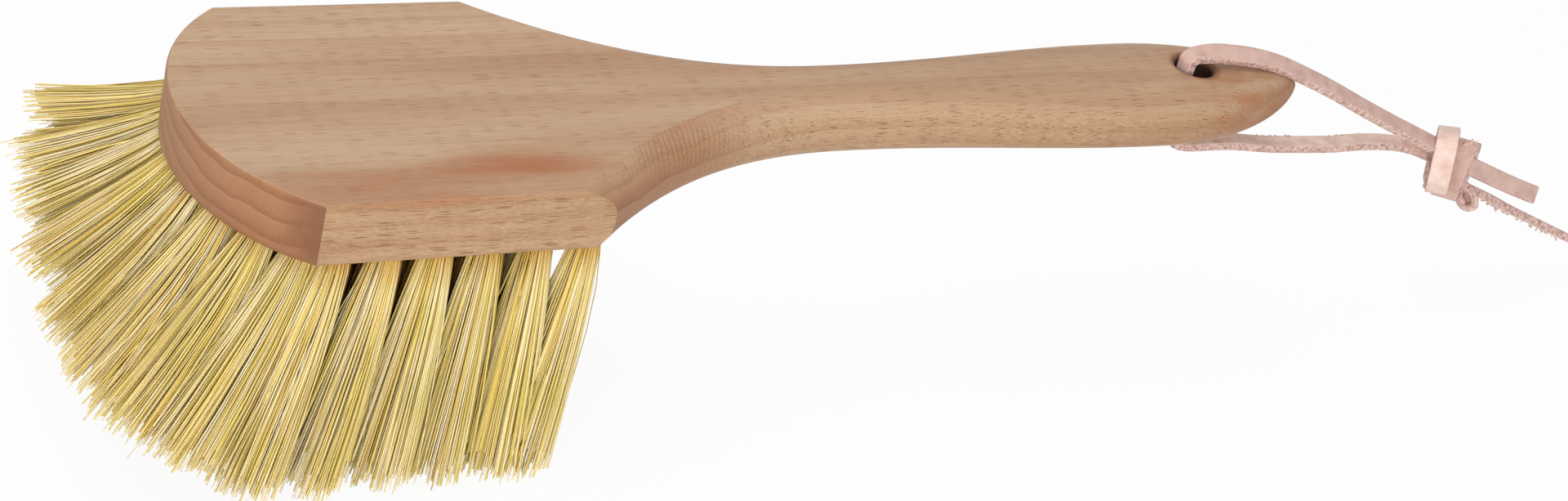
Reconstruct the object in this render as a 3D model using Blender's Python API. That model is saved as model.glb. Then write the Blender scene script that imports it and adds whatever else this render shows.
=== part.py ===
"""Fibre hand brush: a beech block and handle in one piece, fibre tufts and a leather hanging lace.

Run it with blender --background --python part.py, or from Blender's text editor.
+X runs from the arched front to the lace, +Y across the block and +Z up. z = 0 is the plane that
the trimmed fibre tips stand on, and the origin lies under the middle of the wood and fibre.
"""

import math

import bmesh
import bpy
from mathutils import Matrix, Vector

MM = 0.001

# Wood: block, neck and handle
BLOCK_WIDTH = 82.0 * MM
BLOCK_THICKNESS = 16.0 * MM
WOOD_LENGTH = 301.5 * MM
NOSE_RISE = 20.5 * MM
NECK_START = 88.5 * MM
NECK_WAIST = 163.0 * MM
NECK_WIDTH = 23.8 * MM
GRIP_SWELL_TO_TIP = 49.5 * MM
GRIP_WIDTH = 36.8 * MM
LOWER_EDGE_RADIUS = 2.2 * MM
UPPER_EDGE_RADIUS = 0.6 * MM
TIP_FLAT_DEPTH = 0.06 * MM
CROWN_RISE = 0.12 * MM
NECK_TOP_RISE = 2.6 * MM
NECK_UNDERSIDE_RISE = 5.0 * MM
HANG_HOLE_DIAMETER = 9.8 * MM
HANG_HOLE_TO_TIP = 34.8 * MM
HANG_RIM_RADIUS = 1.9 * MM

# Fibre tufts and the holes that they sit in
FIBRE_LENGTH = 60.0 * MM
TRIM_DEPTH = 0.5 * MM
TUFT_HOLE_DIAMETER = 5.6 * MM
TUFT_HOLE_DEPTH = 10.0 * MM
TUFT_PITCH = 11.7 * MM
TUFT_LEAST_SPACING = 6.8 * MM
TUFT_FRONT_MARGIN = 6.3 * MM
TUFT_CORNER_SETBACK = 2.4 * MM
TUFT_SIDE_MARGIN = 5.6 * MM
TUFT_REAR_MARGIN = 3.2 * MM
BOUND_LENGTH = 2.5 * MM
STRAND_RADIUS = 0.42 * MM
SEAT_GAP = 0.3 * MM
CUT_TOLERANCE = 0.015 * MM
OVERRUN = 3.0 * MM

# Lace
LACE_WIDTH = 5.0 * MM
LACE_THICKNESS = 2.4 * MM
BIGHT_OFFSET = 2.6 * MM
KNOT_LENGTH = 12.0 * MM
KNOT_DEPTH = 12.0 * MM
KNOT_HEIGHT = 22.0 * MM
KNOT_DIP_DEGREES = 6.0
LACE_TILT_DEGREES = 90.0
SHORT_TAIL_TILT_DEGREES = 24.0

# Routes of the lace in millimetres: out from the hole's axis, across, and up from mid thickness
UPPER_ROUTE = [(-2.6, 0, 8.7), (-2.6, 0, 9.4), (-2.0, 0, 10.2), (-0.8, 0, 10.8), (1.2, 0, 11.1),
               (3.8, 0, 11.2), (8, 0, 11), (17.3, 0.2, 9.6), (26.9, 0.3, 7.1), (37.1, 0.3, 3.1),
               (47.6, 0, -1.4), (58.8, -0.3, -6.7), (70, -0.8, -11.8), (81.5, -1.2, -16.8),
               (93.9, -1.5, -22.2)]
LOWER_ROUTE = [(-2.6, 0, -8.7), (-2.6, 0, -9.6), (-2.2, 0, -11.6), (-1, 0, -13.4), (1.2, 0, -14.8),
               (4.4, 0.1, -15.6), (8, 0.2, -15.9), (13.6, 0.3, -16), (20.7, 0.5, -16.4),
               (32, 0.9, -18), (41.4, 1.3, -18.9), (55.6, 1.8, -19.9), (64.8, 2.1, -19.9),
               (74.3, 2.4, -20.6), (83, 2.5, -22.3), (93.6, 2.5, -26.2)]
KNOT_CENTRE = (100, 0, -28.9)
SHORT_TAIL_ROUTE = [(107.4, -1, -28.9), (115, -1.1, -32), (124, -1.2, -35.6), (132.8, -1.2, -38.9)]
LONG_TAIL_ROUTE = [(106, 1.5, -35.3), (116.5, 1.4, -39.7), (128, 1.2, -45), (141, 0.8, -50.5),
                   (153.6, 0.6, -55.9)]

# Counts
NOSE_STEPS = 24
SECTION_SIDES = 32
NECK_STATIONS = 12
GRIP_STATIONS = 9
TIP_STATIONS = 9
LOWER_EDGE_STEPS = 3
UPPER_EDGE_STEPS = 2
RIM_STEPS = 3
TUFT_ROWS = 7
FRONT_ROW_TUFTS = 8
STRANDS_PER_TUFT = 9
STRAND_SIDES = 3
STRAND_STATIONS = 3
TUFT_SIDES = 8
HOLE_SIDES = 12
KNOT_SIDES = 16
ROUTE_STEPS = 2
LACE_EDGE_STEPS = 2

# Curve exponents and shares, chosen by eye
NECK_CURVE_SHARE = 2.2
NECK_STATION_SHARE = 1.2
TIP_PLAN_SHARE = 0.85
TIP_PROFILE_SHARE = 2.85
SECTION_FULLNESS_SHARE = 2.7
FRONT_ROW_DEGREES = 46.0
NOSE_FAN_DEGREES = 24.0
CORNER_FAN_DEGREES = 52.0
SIDE_FAN_DEGREES = 1.0
REAR_FAN_DEGREES = 2.5
FAN_TURN_SHARE = 1.1
FAN_DEPTH_SHARE = 2.6
FAN_FALL_SHARE = 1.5
FAN_TRIM_SHARE = 0.13
DRILL_SLANT_SHARE = 0.45
BEND_SHARE = 0.5
TIP_SPREAD_SHARE = 2.4
TIP_THICKNESS_SHARE = 1.9
STRAND_RING_SHARE = 0.7
GOLDEN_ANGLE = math.pi * (3.0 - math.sqrt(5.0))
SHARP_DEGREES = 32.0
# Place along the knot and girth there: two wraps with a groove between them
KNOT_SHARES = [(-0.5, 0.80), (-0.44, 0.92), (-0.28, 1.0), (-0.12, 0.97), (0.0, 0.88),
               (0.1, 0.95), (0.24, 0.98), (0.38, 0.88), (0.46, 0.74), (0.5, 0.62)]

# Derived places, measured from the nose tip and the floor
UNDERSIDE = FIBRE_LENGTH
TOP = UNDERSIDE + BLOCK_THICKNESS
MIDDLE = UNDERSIDE + BLOCK_THICKNESS / 2
HALF_BLOCK = BLOCK_WIDTH / 2
NOSE_RADIUS = (HALF_BLOCK ** 2 + NOSE_RISE ** 2) / (2 * NOSE_RISE)
GRIP_SWELL = WOOD_LENGTH - GRIP_SWELL_TO_TIP
HANG_HOLE_X = WOOD_LENGTH - HANG_HOLE_TO_TIP
TUFT_REAR_X = NECK_START - TUFT_REAR_MARGIN
TUFT_ROW_SPACING = (BLOCK_WIDTH - 2 * TUFT_SIDE_MARGIN) / (TUFT_ROWS - 1)
TUFT_RADIUS = TUFT_HOLE_DIAMETER / 2 - SEAT_GAP


def clear_scene():
    for thing in list(bpy.data.objects):
        bpy.data.objects.remove(thing, do_unlink=True)


def principled(name, colour, roughness, metallic=0.0):
    material = bpy.data.materials.new(name)
    material.use_nodes = True
    shader = material.node_tree.nodes["Principled BSDF"]
    shader.inputs["Base Color"].default_value = (*colour, 1.0)
    shader.inputs["Roughness"].default_value = roughness
    shader.inputs["Metallic"].default_value = metallic
    material.diffuse_color = (*colour, 1.0)
    return material


def link_object(name, data, parent, location=(0, 0, 0), material=None):
    thing = bpy.data.objects.new(name, data)
    bpy.context.scene.collection.objects.link(thing)
    thing.parent = parent
    thing.location = location
    if material is not None:
        data.materials.append(material)
    return thing


def mesh_from_bmesh(name, shape):
    """Turns the faces outwards and stores them as a mesh."""
    bmesh.ops.recalc_face_normals(shape, faces=shape.faces)
    mesh = bpy.data.meshes.new(name)
    shape.to_mesh(mesh)
    shape.free()
    return mesh


def loft(name, rings):
    """Joins closed rings of points with quads and closes both ends."""
    shape = bmesh.new()
    loops = [[shape.verts.new(point) for point in ring] for ring in rings]
    for lower, upper in zip(loops, loops[1:]):
        for i in range(len(lower)):
            j = (i + 1) % len(lower)
            shape.faces.new((lower[i], lower[j], upper[j], upper[i]))
    shape.faces.new(loops[0])
    shape.faces.new(loops[-1])
    return mesh_from_bmesh(name, shape)


def nose_x(y):
    """Where the arched front lies at a distance y from the middle."""
    return NOSE_RADIUS - math.sqrt(NOSE_RADIUS ** 2 - y ** 2)


# Wood


def half_width(x):
    """Half width of the neck and handle at mid thickness."""
    waist, grip = NECK_WIDTH / 2, GRIP_WIDTH / 2
    if x <= NECK_WAIST:
        left = (NECK_WAIST - x) / (NECK_WAIST - NECK_START)
        return waist + (HALF_BLOCK - waist) * left ** NECK_CURVE_SHARE
    if x <= GRIP_SWELL:
        swell = (x - NECK_WAIST) / (GRIP_SWELL - NECK_WAIST)
        return waist + (grip - waist) * (1 - math.cos(math.pi * swell)) / 2
    reach = (x - GRIP_SWELL) / (WOOD_LENGTH - GRIP_SWELL)
    return grip * (1 - reach ** 2) ** TIP_PLAN_SHARE


def half_crown(x, neck_rise):
    """Height above or below mid thickness of the oval that rounds the neck and handle over."""
    crown = BLOCK_THICKNESS / 2 + CROWN_RISE
    if x <= NECK_WAIST:
        left = (NECK_WAIST - x) / (NECK_WAIST - NECK_START)
        return crown + neck_rise * left ** 2
    if x <= GRIP_SWELL:
        return crown
    reach = (x - GRIP_SWELL) / (WOOD_LENGTH - GRIP_SWELL)
    return crown * math.sqrt(1 - reach ** TIP_PROFILE_SHARE)


def oval_ring(x, half_y, rise, drop):
    ring = []
    for i in range(SECTION_SIDES):
        angle = 2 * math.pi * (i + 0.5) / SECTION_SIDES
        across, up = (math.copysign(abs(part) ** (2 / SECTION_FULLNESS_SHARE), part)
                      for part in (math.cos(angle), math.sin(angle)))
        ring.append((x, half_y * across, MIDDLE + (rise if up > 0 else drop) * up))
    return ring


def make_blank_mesh():
    """Board of even thickness with the arched front, straight sides and eased edges."""
    swing = math.asin(HALF_BLOCK / NOSE_RADIUS)
    outline = []
    for i in range(NOSE_STEPS + 1):
        angle = swing * (2 * i / NOSE_STEPS - 1)
        outline.append((NOSE_RADIUS * (1 - math.cos(angle)), NOSE_RADIUS * math.sin(angle)))
    back = WOOD_LENGTH + OVERRUN
    outline += [(back, HALF_BLOCK), (back, -HALF_BLOCK)]

    shape = bmesh.new()
    base = shape.faces.new([shape.verts.new((x, y, UNDERSIDE)) for x, y in outline])
    raised = bmesh.ops.extrude_face_region(shape, geom=[base])
    lifted = [item for item in raised["geom"] if isinstance(item, bmesh.types.BMVert)]
    bmesh.ops.translate(shape, verts=lifted, vec=(0, 0, BLOCK_THICKNESS))
    for height, radius, segments in ((UNDERSIDE, LOWER_EDGE_RADIUS, LOWER_EDGE_STEPS),
                                     (TOP, UPPER_EDGE_RADIUS, UPPER_EDGE_STEPS)):
        rim = [edge for edge in shape.edges
               if all(abs(vert.co.z - height) < SEAT_GAP for vert in edge.verts)]
        bmesh.ops.bevel(shape, geom=rim, offset=radius, segments=segments, profile=0.5,
                        affect="EDGES", clamp_overlap=True)
    return mesh_from_bmesh("blank", shape)


def make_shaping_mesh():
    """Oval envelope that leaves the block alone and rounds the neck and handle over."""
    front = TUFT_REAR_X - TUFT_PITCH
    wide, tall = 2 * BLOCK_WIDTH, 4 * BLOCK_THICKNESS
    rings = [oval_ring(-NOSE_RISE, wide, tall, tall), oval_ring(front, BLOCK_WIDTH, tall, tall)]
    stations = []
    for i in range(NECK_STATIONS):
        share = (i / NECK_STATIONS) ** NECK_STATION_SHARE
        stations.append(front + TUFT_REAR_MARGIN + (NECK_WAIST - front - TUFT_REAR_MARGIN) * share)
    for i in range(GRIP_STATIONS):
        stations.append(NECK_WAIST + (GRIP_SWELL - NECK_WAIST) * i / GRIP_STATIONS)
    for i in range(TIP_STATIONS):
        turn = math.pi / 2 * i / TIP_STATIONS
        stations.append(GRIP_SWELL + (WOOD_LENGTH - GRIP_SWELL) * math.sin(turn))
    stations.append(WOOD_LENGTH - TIP_FLAT_DEPTH)
    for x in stations:
        rise, drop = half_crown(x, NECK_TOP_RISE), half_crown(x, NECK_UNDERSIDE_RISE)
        rings.append(oval_ring(x, half_width(x), rise, drop))
    return loft("shaping_envelope", rings)


def make_hang_bore_mesh():
    """Turned cutter: a bore whose two mouths flare into rounded rims."""
    radius = HANG_HOLE_DIAMETER / 2
    half = BLOCK_THICKNESS / 2
    profile = []
    for i in range(RIM_STEPS + 1):
        turn = math.pi / 2 * i / RIM_STEPS
        flare = HANG_RIM_RADIUS * (1 - math.sin(turn))
        profile.append((radius + flare, -half + HANG_RIM_RADIUS * (1 - math.cos(turn))))
    wide = radius + HANG_RIM_RADIUS
    profile = [(wide, -half - OVERRUN)] + profile
    profile += [(r, -z) for r, z in reversed(profile)]
    rings = []
    for r, z in profile:
        ring = []
        for i in range(2 * HOLE_SIDES):
            angle = math.pi * i / HOLE_SIDES
            ring.append((r * math.cos(angle), r * math.sin(angle), z))
        rings.append(ring)
    return loft("hang_bore_cutter", rings)


# Tufts


def front_row():
    """Row that follows the arched front and steps back a little towards its corners."""
    places = []
    for i in range(FRONT_ROW_TUFTS):
        share = 2 * i / (FRONT_ROW_TUFTS - 1) - 1
        turn = math.radians(FRONT_ROW_DEGREES) * share
        reach = NOSE_RADIUS - TUFT_FRONT_MARGIN - TUFT_CORNER_SETBACK * share ** 2
        places.append((NOSE_RADIUS - reach * math.cos(turn), reach * math.sin(turn)))
    return places


def distance_behind(x, y):
    """How far a place lies from the nearest tuft of the front row."""
    return min(math.hypot(x - a, y - b) for a, b in front_row())


def tuft_places():
    """The front row, and staggered straight rows behind it, filled from the rear forwards."""
    places = front_row()
    for row in range(TUFT_ROWS):
        y = (row - (TUFT_ROWS - 1) / 2) * TUFT_ROW_SPACING
        x = TUFT_REAR_X - row % 2 * TUFT_PITCH / 2
        while x >= nose_x(y) + TUFT_FRONT_MARGIN and distance_behind(x, y) >= TUFT_LEAST_SPACING:
            places.append((x, y))
            x -= TUFT_PITCH
    return places


def fan_share(x, y):
    """How much of the front row's fan a tuft has: 1 in that row, 0 well behind it."""
    reach = FAN_DEPTH_SHARE * TUFT_PITCH
    return max(0.0, 1 - distance_behind(x, y) / reach) ** FAN_FALL_SHARE


def tuft_lean(x, y):
    """Direction that the fibre of one tuft points in at its tips."""
    turn = math.atan2(y, NOSE_RADIUS - x)
    corner = min(1.0, abs(turn) / math.radians(FRONT_ROW_DEGREES))
    opening = NOSE_FAN_DEGREES + (CORNER_FAN_DEGREES - NOSE_FAN_DEGREES) * corner
    tilt = math.radians(opening) * fan_share(x, y)
    rear = max(0.0, 1 - (TUFT_REAR_X - x) / TUFT_PITCH)
    backward = math.tan(math.radians(REAR_FAN_DEGREES)) * rear
    sideways = math.tan(math.radians(SIDE_FAN_DEGREES)) * y / HALF_BLOCK
    way = FAN_TURN_SHARE * turn
    lean = Vector((-math.sin(tilt) * math.cos(way) + backward,
                   math.sin(tilt) * math.sin(way) + sideways, -math.cos(tilt)))
    return lean.normalized()


def tuft_frame(x, y):
    """Mouth of the hole, the way it is drilled and two directions across, mirrored about y = 0."""
    tip_way = tuft_lean(x, y)
    down = Vector((0, 0, -1))
    way = down.lerp(tip_way, DRILL_SLANT_SHARE).normalized()
    side = way.cross(Vector((1, 0, 0))).normalized()
    across = side.cross(way)
    return Vector((x, y, UNDERSIDE)), way, -side if y < 0 else side, across, tip_way


def cylinder_rings(start, end, radius, side, across, count):
    rings = []
    for centre in (start, end):
        ring = []
        for i in range(count):
            angle = 2 * math.pi * i / count
            ring.append(centre + radius * (math.cos(angle) * side + math.sin(angle) * across))
        rings.append(ring)
    return rings


def strand_rings(x, y, number):
    """Stations of one strand, from the bound root of its tuft out to the tip."""
    mouth, way, side, across, tip_way = tuft_frame(x, y)
    root = mouth + way * BOUND_LENGTH
    length = FIBRE_LENGTH * (1 - FAN_TRIM_SHARE * fan_share(x, y)) + TRIM_DEPTH
    tip = mouth + tip_way * length
    knee = root + way * (tip - root).length * BEND_SHARE
    out = TUFT_RADIUS * STRAND_RING_SHARE * math.sqrt((number + 0.5) / STRANDS_PER_TUFT)
    turn = number * GOLDEN_ANGLE
    offset = out * (math.cos(turn) * side + math.sin(turn) * across)
    rings = []
    for i in range(STRAND_STATIONS):
        t = i / (STRAND_STATIONS - 1)
        centre = (1 - t) ** 2 * root + 2 * t * (1 - t) * knee + t ** 2 * tip
        centre = centre + offset * (1 + (TIP_SPREAD_SHARE - 1) * t)
        radius = STRAND_RADIUS * (1 + (TIP_THICKNESS_SHARE - 1) * t)
        ring = []
        for k in range(STRAND_SIDES):
            angle = turn + 2 * math.pi * k / STRAND_SIDES
            ring.append(centre + radius * (math.cos(angle) * side + math.sin(angle) * across))
        rings.append(ring)
    return rings


def make_tuft_mesh(name, x, y):
    """Packed root that fills its hole, with its strands grown out of the lower end."""
    mouth, way, side, across, _ = tuft_frame(x, y)
    start = mouth - way * (TUFT_HOLE_DEPTH - SEAT_GAP)
    end = mouth + way * BOUND_LENGTH
    shape = bmesh.new()
    loops = []
    for ring in cylinder_rings(start, end, TUFT_RADIUS, side, across, TUFT_SIDES):
        loops.append([shape.verts.new(point - mouth) for point in ring])
    for i in range(TUFT_SIDES):
        j = (i + 1) % TUFT_SIDES
        shape.faces.new((loops[0][i], loops[0][j], loops[1][j], loops[1][i]))
    shape.faces.new(loops[0])
    border = [shape.edges.get((loops[1][i], loops[1][(i + 1) % TUFT_SIDES]))
              for i in range(TUFT_SIDES)]
    for number in range(STRANDS_PER_TUFT):
        strand = [[shape.verts.new(point - mouth) for point in ring]
                  for ring in strand_rings(x, y, number)]
        for near, far in zip(strand, strand[1:]):
            for i in range(STRAND_SIDES):
                j = (i + 1) % STRAND_SIDES
                shape.faces.new((near[i], near[j], far[j], far[i]))
        shape.faces.new(strand[-1])
        border += [shape.edges.get((strand[0][i], strand[0][(i + 1) % STRAND_SIDES]))
                   for i in range(STRAND_SIDES)]
    bmesh.ops.triangle_fill(shape, edges=border, use_beauty=True, use_dissolve=False)
    trim_flat(shape, -UNDERSIDE)
    return mesh_from_bmesh(name, shape)


def trim_flat(shape, height):
    """Cuts off what lies below the height and closes the cut strands."""
    everything = list(shape.verts) + list(shape.edges) + list(shape.faces)
    cut = bmesh.ops.bisect_plane(shape, geom=everything, plane_co=(0, 0, height),
                                 plane_no=(0, 0, -1), dist=CUT_TOLERANCE, clear_outer=True)
    rims = [item for item in cut["geom_cut"] if isinstance(item, bmesh.types.BMEdge)]
    if rims:
        bmesh.ops.holes_fill(shape, edges=rims, sides=0)


def least_strand_gap(places):
    """Smallest distance between the corners of neighbouring strands at their stations."""
    strands = [strand_rings(x, y, n) for x, y in places for n in range(STRANDS_PER_TUFT)]
    least = WOOD_LENGTH
    for a in range(len(strands)):
        for b in range(a + 1, len(strands)):
            if (strands[a][0][0] - strands[b][0][0]).length > 2 * TUFT_PITCH:
                continue
            for ring_a, ring_b in zip(strands[a], strands[b]):
                for p in ring_a:
                    for q in ring_b:
                        least = min(least, (p - q).length)
    return least


# Lace


def hole_point(point):
    """A route's point, read from the hanging hole's axis at mid thickness."""
    return Vector(point) * MM


def smooth_route(route):
    """Points on a Catmull-Rom curve through the route, ROUTE_STEPS to each of its stretches."""
    points = [hole_point(point) for point in route]
    padded = [2 * points[0] - points[1]] + points + [2 * points[-1] - points[-2]]
    smooth = []
    for a, b, c, d in zip(padded, padded[1:], padded[2:], padded[3:]):
        for i in range(ROUTE_STEPS):
            t = i / ROUTE_STEPS
            smooth.append(0.5 * (2 * b + (c - a) * t + (2 * a - 5 * b + 4 * c - d) * t ** 2
                                 + (3 * b - a - 3 * c + d) * t ** 3))
    return smooth + [points[-1]]


def make_lace_curve(name, points, tilt_degrees):
    """Flat strip of leather with rounded edges along the points, its width across the loop."""
    curve = bpy.data.curves.new(name, "CURVE")
    curve.dimensions = "3D"
    curve.twist_mode = "MINIMUM"
    curve.bevel_depth = LACE_THICKNESS / 2
    curve.bevel_resolution = LACE_EDGE_STEPS
    curve.extrude = (LACE_WIDTH - LACE_THICKNESS) / 2
    curve.use_fill_caps = True
    spline = curve.splines.new("POLY")
    spline.points.add(len(points) - 1)
    for place, point in zip(spline.points, points):
        place.co = (*point, 1.0)
        place.tilt = math.radians(tilt_degrees)
    return curve


def make_knot_mesh():
    """Two broad wraps round the lace, drawn in between them and at both ends."""
    dip = Matrix.Rotation(math.radians(KNOT_DIP_DEGREES), 3, "Y")
    centre = hole_point(KNOT_CENTRE)
    rings = []
    for along, girth in KNOT_SHARES:
        ring = []
        for i in range(KNOT_SIDES):
            angle = 2 * math.pi * i / KNOT_SIDES
            across = girth * KNOT_DEPTH / 2 * math.cos(angle)
            up = girth * KNOT_HEIGHT / 2 * math.sin(angle)
            ring.append(centre + dip @ Vector((along * KNOT_LENGTH, across, up)))
        rings.append(ring)
    return loft("lace_knot", rings)


# Assembly


def add_boolean(thing, cutter, operation):
    cutter.hide_render = True
    cutter.display_type = "WIRE"
    modifier = thing.modifiers.new(cutter.name, "BOOLEAN")
    modifier.operation = operation
    modifier.solver = "EXACT"
    modifier.object = cutter


def shade_round(mesh):
    mesh.shade_smooth()
    mesh.set_sharp_from_angle(angle=math.radians(SHARP_DEGREES))


def build_wood(frame, places):
    beech = principled("oiled_beech", (0.52, 0.35, 0.21), 0.6)
    blank = make_blank_mesh()
    wood = link_object("wood_body", blank, frame, material=beech)
    shaping = link_object("shaping_envelope", make_shaping_mesh(), frame)
    add_boolean(wood, shaping, "INTERSECT")

    drills = bmesh.new()
    for x, y in places:
        mouth, way, side, across, _ = tuft_frame(x, y)
        start, end = mouth - way * TUFT_HOLE_DEPTH, mouth + way * OVERRUN
        rings = cylinder_rings(start, end, TUFT_HOLE_DIAMETER / 2, side, across, HOLE_SIDES)
        loops = [[drills.verts.new(point) for point in ring] for ring in rings]
        for i in range(HOLE_SIDES):
            j = (i + 1) % HOLE_SIDES
            drills.faces.new((loops[0][i], loops[0][j], loops[1][j], loops[1][i]))
        drills.faces.new(loops[0])
        drills.faces.new(loops[1])
    cutter = link_object("tuft_hole_cutter", mesh_from_bmesh("tuft_hole_cutter", drills), frame)
    add_boolean(wood, cutter, "DIFFERENCE")

    bore = link_object("hang_bore_cutter", make_hang_bore_mesh(), frame, (HANG_HOLE_X, 0, MIDDLE))
    add_boolean(wood, bore, "DIFFERENCE")
    shade_round(wood.data)


def build_tufts(frame, places):
    fibre = principled("plant_fibre", (0.72, 0.60, 0.33), 0.75)
    for number, (x, y) in enumerate(places, start=1):
        name = f"tuft_{number:02d}"
        mesh = make_tuft_mesh(name, x, y)
        link_object(name, mesh, frame, (x, y, UNDERSIDE), fibre)


def build_lace(frame):
    leather = principled("pale_leather", (0.58, 0.36, 0.29), 0.7)
    pivot = link_object("lace_pivot", None, frame, (HANG_HOLE_X, 0, MIDDLE))
    ends = [Vector((-BIGHT_OFFSET, 0, side * BLOCK_THICKNESS / 2)) for side in (1, -1)]
    link_object("lace_bight", make_lace_curve("lace_bight", ends, 0), pivot, material=leather)
    for name, route, tilt in (("lace_upper", UPPER_ROUTE, LACE_TILT_DEGREES),
                              ("lace_lower", LOWER_ROUTE, LACE_TILT_DEGREES),
                              ("lace_tail_short", SHORT_TAIL_ROUTE, SHORT_TAIL_TILT_DEGREES),
                              ("lace_tail_long", LONG_TAIL_ROUTE, LACE_TILT_DEGREES)):
        curve = make_lace_curve(name, smooth_route(route), tilt)
        link_object(name, curve, pivot, material=leather)
    knot = make_knot_mesh()
    shade_round(knot)
    link_object("lace_knot", knot, pivot, material=leather)


def main():
    clear_scene()
    places = tuft_places()
    front = min(point.x for x, y in places for number in range(STRANDS_PER_TUFT)
                for point in strand_rings(x, y, number)[-1])
    frame = link_object("brush_frame", None, None, (-(front + WOOD_LENGTH) / 2, 0, 0))
    build_wood(frame, places)
    build_tufts(frame, places)
    build_lace(frame)
    strands = STRANDS_PER_TUFT * len(places)
    print(f"{len(places)} tufts, {strands} strands, least gap {least_strand_gap(places) / MM:.2f} mm")
    print(f"frame origin at {frame.location.x / MM:.2f} mm, fibre front at {front / MM:.2f} mm")


main()
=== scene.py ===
"""Beech hand brush with plant fibre tufts and a leather hanging lace, as it looks.

Laid out as a Blender add-on with one operator for each group of pieces. Lengths are in metres,
and the grain and the handle run along X.
"""

import math
import random
from functools import partial

import bmesh
import bpy
import numpy as np
from mathutils import Matrix, Vector


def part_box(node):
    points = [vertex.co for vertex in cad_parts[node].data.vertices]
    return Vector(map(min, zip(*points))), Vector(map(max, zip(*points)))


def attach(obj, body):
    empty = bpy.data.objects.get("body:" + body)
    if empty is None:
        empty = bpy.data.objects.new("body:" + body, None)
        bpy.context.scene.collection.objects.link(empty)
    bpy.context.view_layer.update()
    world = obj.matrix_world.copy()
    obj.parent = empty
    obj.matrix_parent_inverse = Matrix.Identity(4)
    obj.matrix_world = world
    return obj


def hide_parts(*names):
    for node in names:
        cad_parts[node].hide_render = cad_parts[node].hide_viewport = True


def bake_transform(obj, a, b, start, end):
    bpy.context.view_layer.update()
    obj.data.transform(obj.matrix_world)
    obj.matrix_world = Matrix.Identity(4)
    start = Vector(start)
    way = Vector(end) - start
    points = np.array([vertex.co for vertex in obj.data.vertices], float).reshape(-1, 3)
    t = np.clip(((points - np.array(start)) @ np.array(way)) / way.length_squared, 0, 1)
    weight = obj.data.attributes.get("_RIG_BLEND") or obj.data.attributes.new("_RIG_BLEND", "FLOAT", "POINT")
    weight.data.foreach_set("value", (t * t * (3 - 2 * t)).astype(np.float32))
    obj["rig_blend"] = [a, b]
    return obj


bl_info = {
    "name": "Fibre Hand Brush",
    "version": (1, 0, 0),
    "blender": (4, 5, 0),
    "location": "3D View > Sidebar > Brush",
    "description": "Makes a beech hand brush with fibre tufts and a leather lace",
    "category": "Add Mesh",
}

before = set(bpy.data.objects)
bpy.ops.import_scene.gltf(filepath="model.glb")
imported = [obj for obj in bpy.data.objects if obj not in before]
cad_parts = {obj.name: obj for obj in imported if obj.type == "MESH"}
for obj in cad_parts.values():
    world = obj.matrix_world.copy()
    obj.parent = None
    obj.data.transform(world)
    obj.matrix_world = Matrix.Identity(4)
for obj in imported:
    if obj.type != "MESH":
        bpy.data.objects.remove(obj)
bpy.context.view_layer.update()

MM = 0.001
WOOD_LOW, WOOD_HIGH = (Vector(corner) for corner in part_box("wood_body"))
NOSE_X = WOOD_LOW.x
UNDERSIDE = WOOD_LOW.z
TOP = WOOD_HIGH.z
MIDDLE = (UNDERSIDE + TOP) / 2
WOOD_LENGTH = WOOD_HIGH.x - WOOD_LOW.x

# Wood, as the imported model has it
HALF_BLOCK = 41.0 * MM
THICKNESS = 16.0 * MM
NOSE_RISE = 20.5 * MM
NECK_START = 88.5 * MM
NECK_WAIST = 163.0 * MM
NECK_HALF_WIDTH = 11.9 * MM
GRIP_SWELL = 252.0 * MM
GRIP_HALF_WIDTH = 18.4 * MM
CROWN_RISE = 0.12 * MM
NECK_TOP_RISE = 2.6 * MM
NECK_UNDERSIDE_RISE = 5.0 * MM
NECK_CURVE = 2.2
TIP_PLAN = 0.85
TIP_PROFILE = 2.85
SECTION_FULLNESS = 2.7
HOLE_X = 266.7 * MM
HOLE_RADIUS = 4.9 * MM
HOLE_RIM = 1.9 * MM
NOSE_RADIUS = (HALF_BLOCK ** 2 + NOSE_RISE ** 2) / (2 * NOSE_RISE)
WOOD_CREASE = math.radians(14)

# Tufts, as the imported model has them
TUFT_PITCH = 11.7 * MM
TUFT_ROWS = 7
TUFT_SIDE_MARGIN = 5.6 * MM
TUFT_FRONT_MARGIN = 6.3 * MM
TUFT_CORNER_SETBACK = 2.4 * MM
TUFT_LEAST_SPACING = 6.8 * MM
TUFT_REAR_X = 85.3 * MM
TUFT_HOLE_RADIUS = 2.8 * MM
TUFT_HOLE_DEPTH = 10.0 * MM
FRONT_ROW_TUFTS = 8
FRONT_ROW_DEGREES = 46.0

# How the fibre leans, as in the photo: the front fan reaches back FAN_DEPTH pitches, falls off by
# a power that eases towards the far side, and each hole slants by a share of its tuft's slant.
# Behind the fan the tufts lean forwards, the rear row a little more, and each to its own side
FAN_DEPTH = 2.3
FAN_FALL = 1.8
FAR_SIDE_EASE = 1.0
DRILL_SLANT = 0.45
FORWARD_LEAN = 0.2
LEAN_CURVE = 1.2
REAR_LEAN = 0.13
SIDE_LEAN = 0.05

# Tufts this near the middle and this far before the rear row are hidden, and get painted golden shade
INNER_HALF_WIDTH = 30 * MM
INNER_REAR = 8 * MM

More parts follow.
